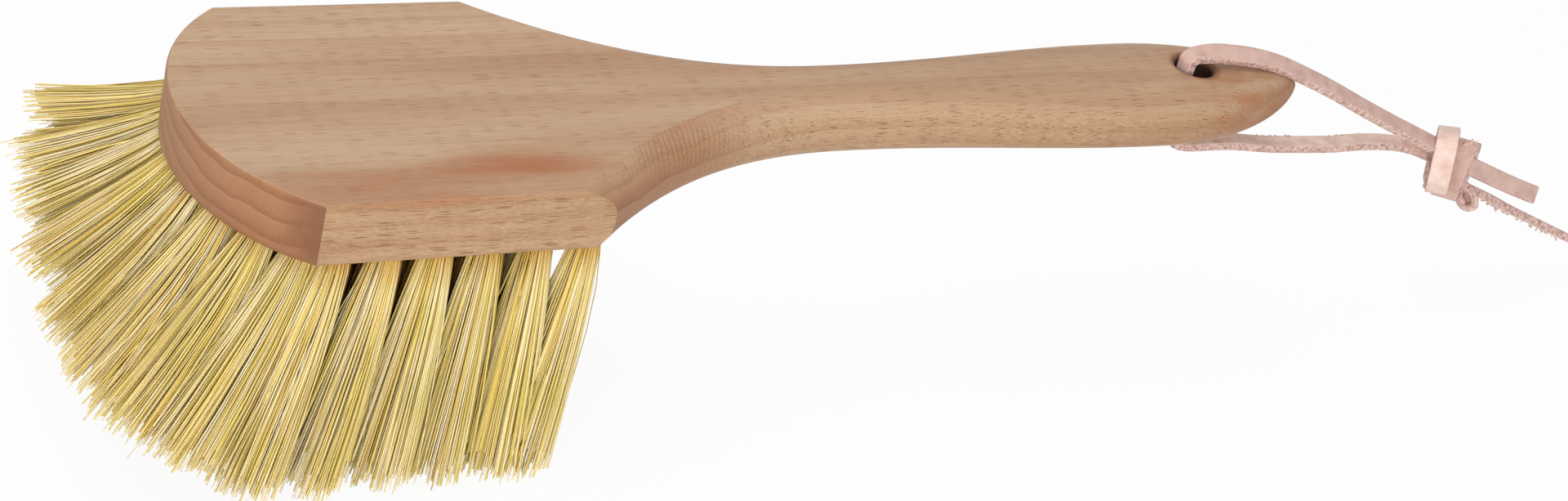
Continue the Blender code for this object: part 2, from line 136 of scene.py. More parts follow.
# Lace routes in millimetres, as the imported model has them: out from the hole, across, up
UPPER_ROUTE = [(-2.6, 0, 0), (-2.6, 0, 4), (-2.6, 0, 8.7), (-2.6, 0, 9.4), (-2.0, 0, 10.2),
               (-0.8, 0, 10.8), (1.2, 0, 11.1), (3.8, 0, 11.2), (8, 0, 11), (17.3, 0.2, 9.6),
               (26.9, 0.3, 7.1), (37.1, 0.3, 3.1), (47.6, 0, -1.4), (58.8, -0.3, -6.7),
               (70, -0.8, -11.8), (81.5, -1.2, -16.8), (93.9, -1.5, -22.2)]
LOWER_ROUTE = [(-2.6, 0, 0), (-2.6, 0, -4), (-2.6, 0, -8.7), (-2.6, 0, -9.6), (-2.2, 0, -11.6),
               (-1, 0, -13.4), (1.2, 0, -14.8), (4.4, 0.1, -15.6), (8, 0.2, -15.9),
               (13.6, 0.3, -16), (20.7, 0.5, -16.4), (32, 0.9, -18), (41.4, 1.3, -18.9),
               (55.6, 1.8, -19.9), (64.8, 2.1, -19.9), (74.3, 2.4, -20.6), (83, 2.5, -22.3),
               (93.6, 2.5, -26.2)]
ROUTE_STEPS = 4
KNOT_CENTRE = (100, 0, -28.9)
SHORT_TAIL_ROUTE = [(103, -1, -27.2), (107.4, -1, -28.9), (115, -1.1, -32), (124, -1.2, -35.6),
                    (132.8, -1.2, -38.9)]
LONG_TAIL_ROUTE = [(106, 1.5, -35.3), (116.5, 1.4, -39.7), (128, 1.2, -45), (141, 0.8, -50.5),
                   (153.6, 0.6, -55.9)]

# Which way each end's width lies, and where two stretches are torn: the way from the middle of
# the strip to its edge, between which shares of its length, how many shreds, and their seed
LONG_TAIL_WAY = Vector((0, -0.96, 0.28))
SHORT_TAIL_WAY = Vector((-0.36, -0.38, -0.85))
LOWER_TORN = (Vector((0, 1.9, 1.1)) * MM, (0.34, 0.85), 26, 3)
LONG_TAIL_TORN = (Vector((-0.4, -0.8, -1.2)) * MM, (0.25, 0.97), 24, 5)

# The strip: its rounded corners, the share of its thickness that shows as cut edge, where it
# starts to roll, read from the hole's axis, over what length and by how many degrees, between
# which two places it bends when the loop swings, and how full a wrap's oval is
STRIP_CORNER = 0.45 * MM
EDGE_SHARE = 0.42
ROLL_START = -2.6 * MM
ROLL_STRETCH = 9 * MM
UPPER_ROLL = 30
LOWER_ROLL = 4
BEND_START = -1.2 * MM
BEND_END = 4 * MM
WRAP_FULLNESS = 0.76
LEATHER_CREASE = math.radians(50)


def linear(code):
    """A colour written as sRGB hex, in the linear values that shaders take."""
    channels = [int(code[i:i + 2], 16) / 255 for i in (1, 3, 5)]
    return (*(c / 12.92 if c <= 0.04045 else ((c + 0.055) / 1.055) ** 2.4 for c in channels), 1.0)


# Materials


def add_node(tree, kind, inputs=(), output=0, stops=None, **settings):
    """Adds a node and hands back one of its outputs, the first unless another is asked for.

    A short name is that of a shader node. The inputs are listed from the first on, or each under
    its own key, and take a value or the socket that feeds them. The stops are a ramp's places and
    colours.
    """
    made = tree.nodes.new(kind if "Node" in kind else f"ShaderNode{kind}")
    for name, value in settings.items():
        setattr(made, name, value)
    for key, value in inputs.items() if isinstance(inputs, dict) else enumerate(inputs):
        if isinstance(value, bpy.types.NodeSocket):
            tree.links.new(value, made.inputs[key])
        else:
            made.inputs[key].default_value = value
    if stops:
        ramp = made.color_ramp
        while len(ramp.elements) < len(stops):
            ramp.elements.new(0.5)
        for element, (place, colour) in zip(ramp.elements, stops):
            element.position = place
            element.color = linear(colour) if isinstance(colour, str) else colour
    return made.outputs[output] if made.outputs else None


def new_material(name):
    """A material whose node tree is still empty, and the function that adds nodes to it."""
    material = bpy.data.materials.new(name)
    material.use_nodes = True
    material.node_tree.nodes.clear()
    return material, partial(add_node, material.node_tree)


def grey(level):
    """A linear level, for factors and pure white."""
    return (level, level, level, 1.0)


def coated(node, blend, colour, *coats):
    """A colour with coats over it, each a share and a colour."""
    for share, coat in coats:
        coat = linear(coat) if isinstance(coat, str) else coat
        colour = node("Mix", {0: share, 6: colour, 7: coat}, 2, data_type="RGBA", blend_type=blend)
    return colour


def blot(node, in_mm, centre, reach, most, ragged):
    """Share of a soft stain: an ellipsoid in millimetres, read from the arch's crown along X."""
    middle = (NOSE_X * 1000 + centre[0], centre[1], centre[2])
    shape = node("VectorMath", [in_mm, middle], operation="SUBTRACT")
    shape = node("VectorMath", [shape, reach], operation="DIVIDE")
    size = node("VectorMath", [shape], "Value", operation="LENGTH")
    wisp_place = node("Mapping", {0: in_mm, 3: (0.035, 0.28, 0.28)})
    wisp = node("TexNoise", {"Vector": wisp_place, "Scale": 1.0, "Detail": 3.0})
    edge = node("Math", [wisp, ragged, -0.5 * ragged], operation="MULTIPLY_ADD")
    size = node("Math", [size, edge])
    return node("MapRange", [size, 1.0, 0.1, 0.0, most], interpolation_type="SMOOTHSTEP")


def beech_material(middle_tone):
    """Oiled beech, planed, spindle moulded and sanded: pale pink tan with fine dark flecks."""
    material, node = new_material("oiled_beech")
    place = node("TexCoord", output="Object")
    in_mm = node("VectorMath", [place, (1000, 1000, 1000)], operation="MULTIPLY")
    end_grain, side_grain = (node("Attribute", output="Fac", attribute_name=name)
                             for name in ("end_grain", "side_grain"))

    # Along the grain: a colour drift 15 to 20 mm wide, fine streaks 0.4 mm wide and 20 mm long,
    # and the speckle of quarter grain, 0.2 mm wide and 1 mm long
    noise = {}
    for name, per_mm, detail in (("drift", (0.006, 0.05, 0.07), 3.0),
                                 ("streak", (0.05, 2.6, 2.6), 2.0),
                                 ("speck", (0.9, 4.5, 4.5), 1.0)):
        spot = node("Mapping", {0: in_mm, 3: per_mm})
        noise[name] = node("TexNoise", {"Vector": spot, "Scale": 1.0, "Detail": detail})

    # Growth rings 4.5 mm apart about a far axis along the grain, above the near half of the board
    spot = node("Mapping", [in_mm, (0, 25, -176), (0, math.radians(1.0), math.radians(1.4)),
                            (0.03, 1, 1)])
    ring_wave = node("TexWave", {"Vector": spot, "Scale": 0.07, "Distortion": 4.5, "Detail": 2.5,
                                 "Detail Scale": 0.6, "Detail Roughness": 0.55}, "Fac",
                     rings_direction="X", wave_type="RINGS", wave_profile="SAW")

    # Cutter marks across the neck, 1.5 mm apart
    mark_wave = node("TexWave", {"Vector": in_mm, "Scale": 0.21, "Distortion": 3.0, "Detail": 1.0,
                                 "Detail Scale": 0.4}, "Fac", bands_direction="X",
                     wave_type="BANDS", wave_profile="SIN")

    # Ray flecks: sharp dark dashes, 2 to 4 mm long and a quarter of a millimetre high
    spot = node("Mapping", {0: in_mm, 3: (0.155, 4.2, 2.8)})
    fleck = node("TexVoronoi", {"Vector": spot, "Scale": 1.0, "Randomness": 1.0})
    fleck_size = node("SeparateColor", [fleck.node.outputs["Color"]])

    # Distance in millimetres from the axis of the hanging hole
    from_hole = node("VectorMath", [in_mm, ((NOSE_X + HOLE_X) * 1000, 0, 0)], operation="SUBTRACT")
    from_hole = node("VectorMath", [from_hole, (1, 1, 0)], operation="MULTIPLY")
    from_hole = node("VectorMath", [from_hole], "Value", operation="LENGTH")

    # What each value does: where its work starts and ends, and the share at either place
    share = {}
    for name, value, start, end, least, most in (
            ("end grain", end_grain, 0.25, 0.60, 0.0, 0.85),
            ("side grain", side_grain, 0.3, 0.95, 0.0, 1.0),
            ("turned over", side_grain, 0.06, 0.35, 0.0, 1.0),
            ("fleck reach", side_grain, 0.2, 0.9, 0.32, 0.36),
            ("fleck depth", side_grain, 0.2, 0.9, 0.66, 0.78),
            ("fleck kept", fleck_size, 0.35, 0.8, 0.0, 1.0),
            ("cutter mark", mark_wave, 0.55, 1.0, 0.0, 0.45),
            ("hole rim", from_hole, 7.4, 5.9, 0.0, 0.85),
            # Near black inside the bore: painted shade
            ("painted shade in the hole", from_hole, 5.6, 4.95, 0.0, 0.95),
            ("roughness", noise["streak"], 0.3, 0.7, 0.62, 0.5)):
        share[name] = node("MapRange", [value, start, end, least, most])
    share["fleck"] = node("MapRange", [fleck, 0.27, share["fleck reach"], share["fleck depth"],
                                       0.0])
    share["neck"] = blot(node, in_mm, (112, -24, 72), (30, 16, 20), 1.0, 0.4)
    share["turning stretch"] = blot(node, in_mm, (122, -18, 72), (46, 18, 20), 1.0, 0.4)

    tint = {}
    for name, value, stops in (
            ("drift", noise["drift"], [(0.30, "#A98160"), (0.50, middle_tone), (0.70, "#BFA082")]),
            ("ring", ring_wave, [(0.0, "#FFFFFF"), (0.45, grey(0.99)), (0.88, "#E6CFBE"),
                                 (0.96, "#DCC0AC"), (1.0, "#FFFFFF")]),
            ("streak", noise["streak"], [(0.33, grey(0.88)), (0.55, grey(1.0)),
                                         (0.75, grey(1.04))]),
            ("speck", noise["speck"], [(0.34, "#E6DCCC"), (0.50, "#F2EDE2"), (0.68, "#FCF9F2")]),
            ("turning", side_grain, [(0.02, grey(0.0)), (0.09, grey(0.85)), (0.22, grey(0.45)),
                                     (0.5, grey(0.0))]),
            ("end", ring_wave, [(0.0, "#A3704B"), (0.6, "#9A6742"), (0.9, "#8A5634"),
                                (1.0, "#AE7E56")])):
        tint[name] = node("ValToRGB", [value], stops=stops)

    for name, first, second in (("fleck", share["fleck"], share["fleck kept"]),
                                ("turning", tint["turning"], share["turning stretch"]),
                                ("mark", share["cutter mark"], share["turned over"])):
        share[name] = node("Math", [first, second], operation="MULTIPLY")
    share["mark"] = node("Math", [share["mark"], share["neck"]], operation="MULTIPLY")

    # End grain drinks more oil and turns redder and darker, most of all low down and at the corner
    end_colour = coated(node, "MULTIPLY", tint["end"], (0.7, tint["speck"]))
    damp = [(blot(node, in_mm, *stain), "#6E3C1E") for stain in (
        ((20, -41, 68), (16, 9, 24), 1.0, 0.5), ((8, -18, 60), (30, 34, 9), 0.4, 0.5))]
    end_colour = coated(node, "MIX", end_colour, *damp)

    # Warm stains: along the near edge of the top, before the neck, and at the handle's tip
    stains = [(blot(node, in_mm, *stain), "#9E5D2F") for stain in (
        ((42, -36, 77), (62, 14, 4), 0.55, 0.9), ((72, -29, 77), (30, 10, 4), 0.85, 0.9),
        ((272, -4, 68), (26, 20, 12), 0.72, 2.0))]

    # Rings and streaks all over and speckle on the sides, then flecks and stains, the warm line
    # where the neck's top turns over, cutter marks, end grain, and the hole with its brown rim and near
    # black painted shade inside
    base = coated(node, "MULTIPLY", tint["drift"], (0.32, tint["ring"]), (0.8, tint["streak"]),
                  (share["side grain"], tint["speck"]))
    base = coated(node, "MIX", base, (share["fleck"], "#764120"), *stains,
                  (share["turning"], "#98562B"), (share["mark"], "#7C4526"),
                  (share["end grain"], end_colour), (share["hole rim"], "#74401C"),
                  (share["painted shade in the hole"], "#2A150B"))

    height = node("Math", [share["fleck"], -1.0], operation="MULTIPLY")
    dent = node("Bump", {"Strength": 0.35, "Distance": 0.06 * MM, "Height": height})
    shader = node("BsdfPrincipled", {"Base Color": base, "Roughness": share["roughness"],
                                     "Normal": dent})
    node("OutputMaterial", {"Surface": shader})
    return material


def fibre_material(middle_tone):
    """Raw plant fibre, combed and trimmed: straw yellow, each fibre its own tone, light passes."""
    material, node = new_material("raw_plant_fibre")
    tone, along, inner = (node("Attribute", output="Fac", attribute_name=name)
                          for name in ("fibre_tone", "fibre_along", "inner"))
    tones = node("ValToRGB", [tone], stops=[(0.0, "#DDB060"), (0.05, "#EDD468"), (0.22, "#F8DF82"),
                                            (0.45, middle_tone), (0.65, "#FFEFB8"),
                                            (1.0, "#FFF6DA")])

    # Patches of yellower fibre, 10 to 15 mm wide
    place = node("TexCoord", output="Object")
    patch = node("TexNoise", {"Vector": place, "Scale": 70.0, "Detail": 2.0})
    patch = node("MapRange", [patch, 0.42, 0.65, 0.0, 0.45])

    # Painted shade: brown towards the roots, and golden on the hidden tufts in the middle, where light has
    # passed through other fibre
    root_painted_shade = node("ValToRGB", [along], stops=[(0.0, "#B48C58"), (0.11, "#E0C696"),
                                                 (0.30, "#FFFFFF")])
    shade = node("MapRange", [along, 0.2, 0.9, 1.0, 0.25])
    shade = node("Math", [shade, inner], operation="MULTIPLY")
    colour = coated(node, "MIX", tones, (patch, "#EBD668"))
    colour = coated(node, "MULTIPLY", colour, (1.0, root_painted_shade), (shade, "#E0A454"))
    golden = coated(node, "MULTIPLY", colour, (1.0, "#F6C46C"))

    passed = node("BsdfTranslucent", {"Color": golden})
    shader = node("BsdfPrincipled", {"Base Color": colour, "Roughness": 0.42})
    both = node("MixShader", [0.12, shader, passed])
    node("OutputMaterial", {"Surface": both})
    return material


def leather_material(middle_tone):
    """Vegetable tanned strip: smooth pink grain side, paler rough flesh side, mottled edges."""
    material, node = new_material("pale_vegetable_leather")
    flesh, edge = (node("Attribute", output="Fac", attribute_name=name)
                   for name in ("flesh_side", "cut_edge_and_core_shade"))

    # Clouds 4 mm wide on both sides, and specks 1 mm wide on the cut edges and on the knot's cores, whose
    # darker edge colour is painted shade inside the knot
    place = node("TexCoord", output="Object")
    cloud, speck = (
        node("TexNoise", {"Vector": place, "Scale": scale, "Detail": detail,
                                              "Roughness": rough})
        for scale, detail, rough in ((260.0, 4.0, 0.6), (900.0, 3.0, 0.7)))
    grain_colour, flesh_colour, edge_and_core_shade_colour = (
        node("ValToRGB", [value], stops=stops) for value, stops in (
            (cloud, [(0.3, "#BE998D"), (0.5, middle_tone), (0.7, "#D3B3A8")]),
            (cloud, [(0.3, "#D5B2A5"), (0.5, "#E0C4B8"), (0.7, "#E9D3C9")]),
            (speck, [(0.36, "#9A776E"), (0.46, "#BF9C91"), (0.6, "#D9BBB0")])))
    colour = coated(node, "MIX", grain_colour, (flesh, flesh_colour), (edge, edge_and_core_shade_colour))
    bump = node("Bump", {"Strength": 0.4, "Distance": 0.2 * MM, "Height": speck})
    shader = node("BsdfPrincipled", {"Base Color": colour, "Roughness": 0.75, "Normal": bump})
    node("OutputMaterial", {"Surface": shader})
    return material


# Shared mesh code


def new_object(name, data):
    made = bpy.data.objects.new(name, data)
    bpy.context.scene.collection.objects.link(made)
    return made


def new_piece(name, mesh, material):
    piece = new_object(name, mesh)
    mesh.materials.clear()
    mesh.materials.append(material)
    return piece


def finished_mesh(piece, name):
    """The evaluated mesh of an object with modifiers, as a plain mesh of its own."""
    graph = bpy.context.evaluated_depsgraph_get()
    mesh = bpy.data.meshes.new_from_object(piece.evaluated_get(graph))
    mesh.name = name
    return mesh


def unit_oval(sides, power=1.0, start=0.0):
    """Pairs across and up round an oval of half size 1; a power under 1 makes it fuller."""
    turns = [2 * math.pi * (i + start) / sides for i in range(sides)]
    return [[math.copysign(abs(part) ** power, part) for part in (math.cos(turn), math.sin(turn))]
            for turn in turns]


def round_ring(centre, across, up, sides):
    """Points of an oval, from its middle and two half axes."""
    return [centre + across * out + up * rise for out, rise in unit_oval(sides)]


def join_loops(shape, loops, closed=False):
    """Joins rings of vertices with quads, and closes the ends or joins the last to the first."""
    for lower, upper in zip(loops, loops[1:] + loops[:1] if closed else loops[1:]):
        for i in range(len(lower)):
            j = (i + 1) % len(lower)
            shape.faces.new((lower[i], lower[j], upper[j], upper[i]))
    if not closed:
        shape.faces.new(loops[0])
        shape.faces.new(loops[-1])


def loft_shape(shape, rings):
    """Adds rings of points, joined and closed at both ends, to a bmesh."""
    loops = [[shape.verts.new(point) for point in ring] for ring in rings]
    join_loops(shape, loops)
    return loops


def as_mesh(name, shape):
    bmesh.ops.recalc_face_normals(shape, faces=shape.faces)
    mesh = bpy.data.meshes.new(name)
    shape.to_mesh(mesh)
    shape.free()
    return mesh


def lofted_mesh(name, *lofts):
    shape = bmesh.new()
    for rings in lofts:
        loft_shape(shape, rings)
    return as_mesh(name, shape)


# Wood


def nose_x(y):
    """Where the arched front lies at a distance y from the middle."""
    return NOSE_RADIUS - math.sqrt(NOSE_RADIUS ** 2 - y ** 2)


def half_width(x):
    """Half width of the neck and handle at mid thickness."""
    if x <= NECK_WAIST:
        left = (NECK_WAIST - x) / (NECK_WAIST - NECK_START)
        return NECK_HALF_WIDTH + (HALF_BLOCK - NECK_HALF_WIDTH) * left ** NECK_CURVE
    if x <= GRIP_SWELL:
        swell = (x - NECK_WAIST) / (GRIP_SWELL - NECK_WAIST)
        widening = (1 - math.cos(math.pi * swell)) / 2
        return NECK_HALF_WIDTH + (GRIP_HALF_WIDTH - NECK_HALF_WIDTH) * widening
    reach = min(1.0, (x - GRIP_SWELL) / (WOOD_LENGTH - GRIP_SWELL))
    return GRIP_HALF_WIDTH * (1 - reach ** 2) ** TIP_PLAN


def half_crown(x, neck_rise):
    """Height above or below mid thickness of the oval that rounds the handle over."""
    crown = THICKNESS / 2 + CROWN_RISE
    if x <= NECK_WAIST:
        left = (NECK_WAIST - x) / (NECK_WAIST - NECK_START)
        return crown + neck_rise * left ** 2
    if x <= GRIP_SWELL:
        return crown
    reach = min(1.0, (x - GRIP_SWELL) / (WOOD_LENGTH - GRIP_SWELL))
    return crown * math.sqrt(1 - reach ** TIP_PROFILE)


def oval_ring(x, half_y, rise, drop, sides):
    """Section of the neck or handle: a full oval that rises and drops from mid thickness."""
    return [(NOSE_X + x, half_y * across, MIDDLE + (rise if up > 0 else drop) * up)
            for across, up in unit_oval(sides, 2 / SECTION_FULLNESS, 0.5)]


def blank_mesh(sizes):
    """Board with the arched front, straight sides and eased edges."""
    swing = math.asin(HALF_BLOCK / NOSE_RADIUS)
    outline = []
    for i in range(sizes.nose_steps + 1):
        turn = swing * (2 * i / sizes.nose_steps - 1)
        outline.append((NOSE_X + NOSE_RADIUS * (1 - math.cos(turn)), NOSE_RADIUS * math.sin(turn)))
    back = WOOD_HIGH.x + THICKNESS
    outline += [(back, HALF_BLOCK), (back, -HALF_BLOCK)]
    shape = bmesh.new()
    base = shape.faces.new([shape.verts.new((x, y, UNDERSIDE)) for x, y in outline])
    raised = bmesh.ops.extrude_face_region(shape, geom=[base])
    lifted = [item for item in raised["geom"] if isinstance(item, bmesh.types.BMVert)]
    bmesh.ops.translate(shape, verts=lifted, vec=(0, 0, THICKNESS))
    for height, radius, steps in ((UNDERSIDE, sizes.lower_edge, 8), (TOP, sizes.upper_edge, 7)):
        rim = [edge for edge in shape.edges
               if all(abs(vert.co.z - height) < 0.1 * MM for vert in edge.verts)]
        bmesh.ops.bevel(shape, geom=rim, offset=radius, segments=steps, profile=0.5,
                        affect="EDGES", clamp_overlap=True)
    return as_mesh("blank", shape)


def shaping_mesh(sizes):
    """Oval envelope that leaves the block alone and rounds the neck and handle over."""
    sides = sizes.section_sides
    front = TUFT_REAR_X - TUFT_PITCH
    wide, tall = 4 * HALF_BLOCK, 4 * THICKNESS
    rings = [oval_ring(-NOSE_RISE, wide, tall, tall, sides),
             oval_ring(front, 2 * HALF_BLOCK, tall, tall, sides)]

    # Stations lie closest where the neck begins and at the tip
    start = front + 3.2 * MM
    stations = [start + (NECK_WAIST - start) * (i / 48) ** 1.2 for i in range(48)]
    stations += [NECK_WAIST + (GRIP_SWELL - NECK_WAIST) * i / 30 for i in range(30)]
    stations += [GRIP_SWELL + (WOOD_LENGTH - GRIP_SWELL) * math.sin(math.pi / 2 * i / 28)
                 for i in range(28)]
    for x in stations + [WOOD_LENGTH - 0.02 * MM]:
        rise, drop = half_crown(x, NECK_TOP_RISE), half_crown(x, NECK_UNDERSIDE_RISE)
        rings.append(oval_ring(x, half_width(x), rise, drop, sides))
    return lofted_mesh("shaping_envelope", rings)


def hang_bore_mesh():
    """Turned cutter: a bore whose mouths flare into rounded rims."""
    half = THICKNESS / 2
    profile = [(HOLE_RADIUS + HOLE_RIM, -half - 3 * MM)]
    for i in range(9):
        turn = math.pi / 2 * i / 8
        profile.append((HOLE_RADIUS + HOLE_RIM * (1 - math.sin(turn)),
                        -half + HOLE_RIM * (1 - math.cos(turn))))
    profile += [(r, -z) for r, z in reversed(profile)]
    return lofted_mesh("hang_bore", [
        round_ring(Vector((NOSE_X + HOLE_X, 0, MIDDLE + z)), Vector((r, 0, 0)),
                   Vector((0, r, 0)), 64) for r, z in profile])


def tuft_drill_mesh(places):
    """One drill for each tuft hole, from its bottom to 3 mm below the block."""
    return lofted_mesh("tuft_drills", *(
        [round_ring(place["mouth"] + place["way"] * depth, place["side"] * TUFT_HOLE_RADIUS,
                    place["across"] * TUFT_HOLE_RADIUS, 20)
         for depth in (-TUFT_HOLE_DEPTH, 3 * MM)] for place in places))


def mark_grain(mesh):
    """Stores for each corner how squarely its face cuts the grain, along X, and how it faces Y."""
    normals = np.empty(len(mesh.loops) * 3, np.float32)
    mesh.corner_normals.foreach_get("vector", normals)
    for name, axis in (("end_grain", 0), ("side_grain", 1)):
        share = mesh.attributes.new(name, "FLOAT", "CORNER")
        share.data.foreach_set("value", np.abs(normals.reshape(-1, 3)[:, axis]))


def make_wood(sizes):
    material = beech_material(sizes.wood_colour)
    blank = new_piece("blank", blank_mesh(sizes), material)
    cutters = [("INTERSECT", new_piece("shaping", shaping_mesh(sizes), material)),
               ("DIFFERENCE", new_piece("tuft_drills", tuft_drill_mesh(tuft_places()), material)),
               ("DIFFERENCE", new_piece("hang_bore", hang_bore_mesh(), material))]
    for operation, cutter in cutters:
        modifier = blank.modifiers.new(cutter.name, "BOOLEAN")
        modifier.operation = operation
        modifier.solver = "EXACT"
        modifier.object = cutter
    mesh = finished_mesh(blank, "block_and_handle")
    for piece in [blank] + [cutter for _, cutter in cutters]:
        bpy.data.objects.remove(piece, do_unlink=True)
    mesh.shade_smooth()
    mesh.set_sharp_from_angle(angle=WOOD_CREASE)
    wood = new_piece("block_and_handle", mesh, material)
    modifier = wood.modifiers.new("flat faces stay flat", "WEIGHTED_NORMAL")
    modifier.keep_sharp = True
    modifier.weight = 100
    mesh = finished_mesh(wood, "block_and_handle")
    wood.modifiers.clear()
    wood.data = mesh
    mark_grain(mesh)
    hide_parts("wood_body")
    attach(wood, "brush")


# Fibre

# The front fan from the near side round to the far one: degrees round the arch, the way from a
# tuft's mouth to its tips, and its length in millimetres
FRONT_FAN = [(-55.4, (-0.33, -0.23, -0.92), 55.0), (-46.0, (-0.53, -0.32, -0.79), 52.0),
             (-32.9, (-0.57, -0.28, -0.77), 50.0), (-19.7, (-0.60, -0.24, -0.76), 46.5),
             (-6.6, (-0.57, -0.03, -0.82), 44.5), (6.6, (-0.56, 0.22, -0.80), 42.5),
             (19.7, (-0.60, 0.34, -0.71), 42.0), (32.9, (-0.67, 0.42, -0.60), 41.5),
             (46.0, (-0.74, 0.48, -0.44), 41.5), (55.4, (-0.68, 0.53, -0.52), 44.0)]
CORNER_TUFTS = [(26.8 * MM, -35.4 * MM), (26.8 * MM, 35.4 * MM)]
FIBRE_LENGTH = 59.5 * MM
FRONT_SPREAD = 1.2
KNEE_SHARE = 0.24
SEEDS_APART = 20


def front_row():
    """Row that follows the arched front and steps back a little towards its corners."""
    places = []
    for i in range(FRONT_ROW_TUFTS):
        share = 2 * i / (FRONT_ROW_TUFTS - 1) - 1
        turn = math.radians(FRONT_ROW_DEGREES) * share
        reach = NOSE_RADIUS - TUFT_FRONT_MARGIN - TUFT_CORNER_SETBACK * share ** 2
        places.append((NOSE_RADIUS - reach * math.cos(turn), reach * math.sin(turn)))
    return places


def distance_from(spots, x, y):
    return min(math.hypot(x - a, y - b) for a, b in spots)


def fan_at(x, y):
    """Direction and length of the front fan at the angle of a place."""
    turn = math.degrees(math.atan2(y, NOSE_RADIUS - x))
    turn = max(FRONT_FAN[0][0], min(FRONT_FAN[-1][0], turn))
    for (turn_a, way_a, length_a), (turn_b, way_b, length_b) in zip(FRONT_FAN, FRONT_FAN[1:]):
        if turn <= turn_b:
            t = (turn - turn_a) / (turn_b - turn_a)
            way = Vector(way_a).lerp(Vector(way_b), t).normalized()
            return way, (length_a + (length_b - length_a) * t) * MM
    raise ValueError("a tuft lies outside the fan")


def tuft_places():
    """Each tuft's mouth, drilled way, two ways across it, and its line by root, knee and tip."""
    row_places = front_row()
    spots = list(row_places)
    for row in range(TUFT_ROWS):
        y = (row - (TUFT_ROWS - 1) / 2) * (HALF_BLOCK - TUFT_SIDE_MARGIN) / ((TUFT_ROWS - 1) / 2)
        x = TUFT_REAR_X - row % 2 * TUFT_PITCH / 2
        while (x >= nose_x(y) + TUFT_FRONT_MARGIN
               and distance_from(row_places, x, y) >= TUFT_LEAST_SPACING):
            spots.append((x, y))
            x -= TUFT_PITCH
    places = []
    for x, y in spots:
        behind = distance_from(row_places + CORNER_TUFTS, x, y)
        fall = FAN_FALL - FAR_SIDE_EASE * max(0.0, y / HALF_BLOCK)
        fan = max(0.0, 1 - behind / (FAN_DEPTH * TUFT_PITCH)) ** fall
        fan_way, fan_length = fan_at(x, y)
        rear = max(0.0, 1 - (TUFT_REAR_X - x) / TUFT_PITCH)
        forward = max(0.0, (TUFT_REAR_X - x) / (TUFT_REAR_X - CORNER_TUFTS[0][0]))
        straight = Vector((-FORWARD_LEAN * forward ** LEAN_CURVE - REAR_LEAN * rear,
                           SIDE_LEAN * y / HALF_BLOCK, -1))
        tip_way = straight.lerp(fan_way, fan).normalized()
        way = Vector((0, 0, -1)).lerp(tip_way, DRILL_SLANT).normalized()
        # Hidden tufts in the middle are marked inner, for their painted golden shade
        inside = ((x, y) not in row_places and abs(y) < INNER_HALF_WIDTH
                  and x < TUFT_REAR_X - INNER_REAR)
        side = way.cross(Vector((1, 0, 0))).normalized()
        mouth = Vector((NOSE_X + x, y, UNDERSIDE))
        root = mouth - way * 3 * MM
        tip = mouth + tip_way * (FIBRE_LENGTH + (fan_length - FIBRE_LENGTH) * fan)
        places.append({"mouth": mouth, "way": way, "side": side, "across": side.cross(way),
                       "root": root, "knee": root + way * (tip - root).length * KNEE_SHARE,
                       "tip": tip, "inner": float(inside)})
    return places


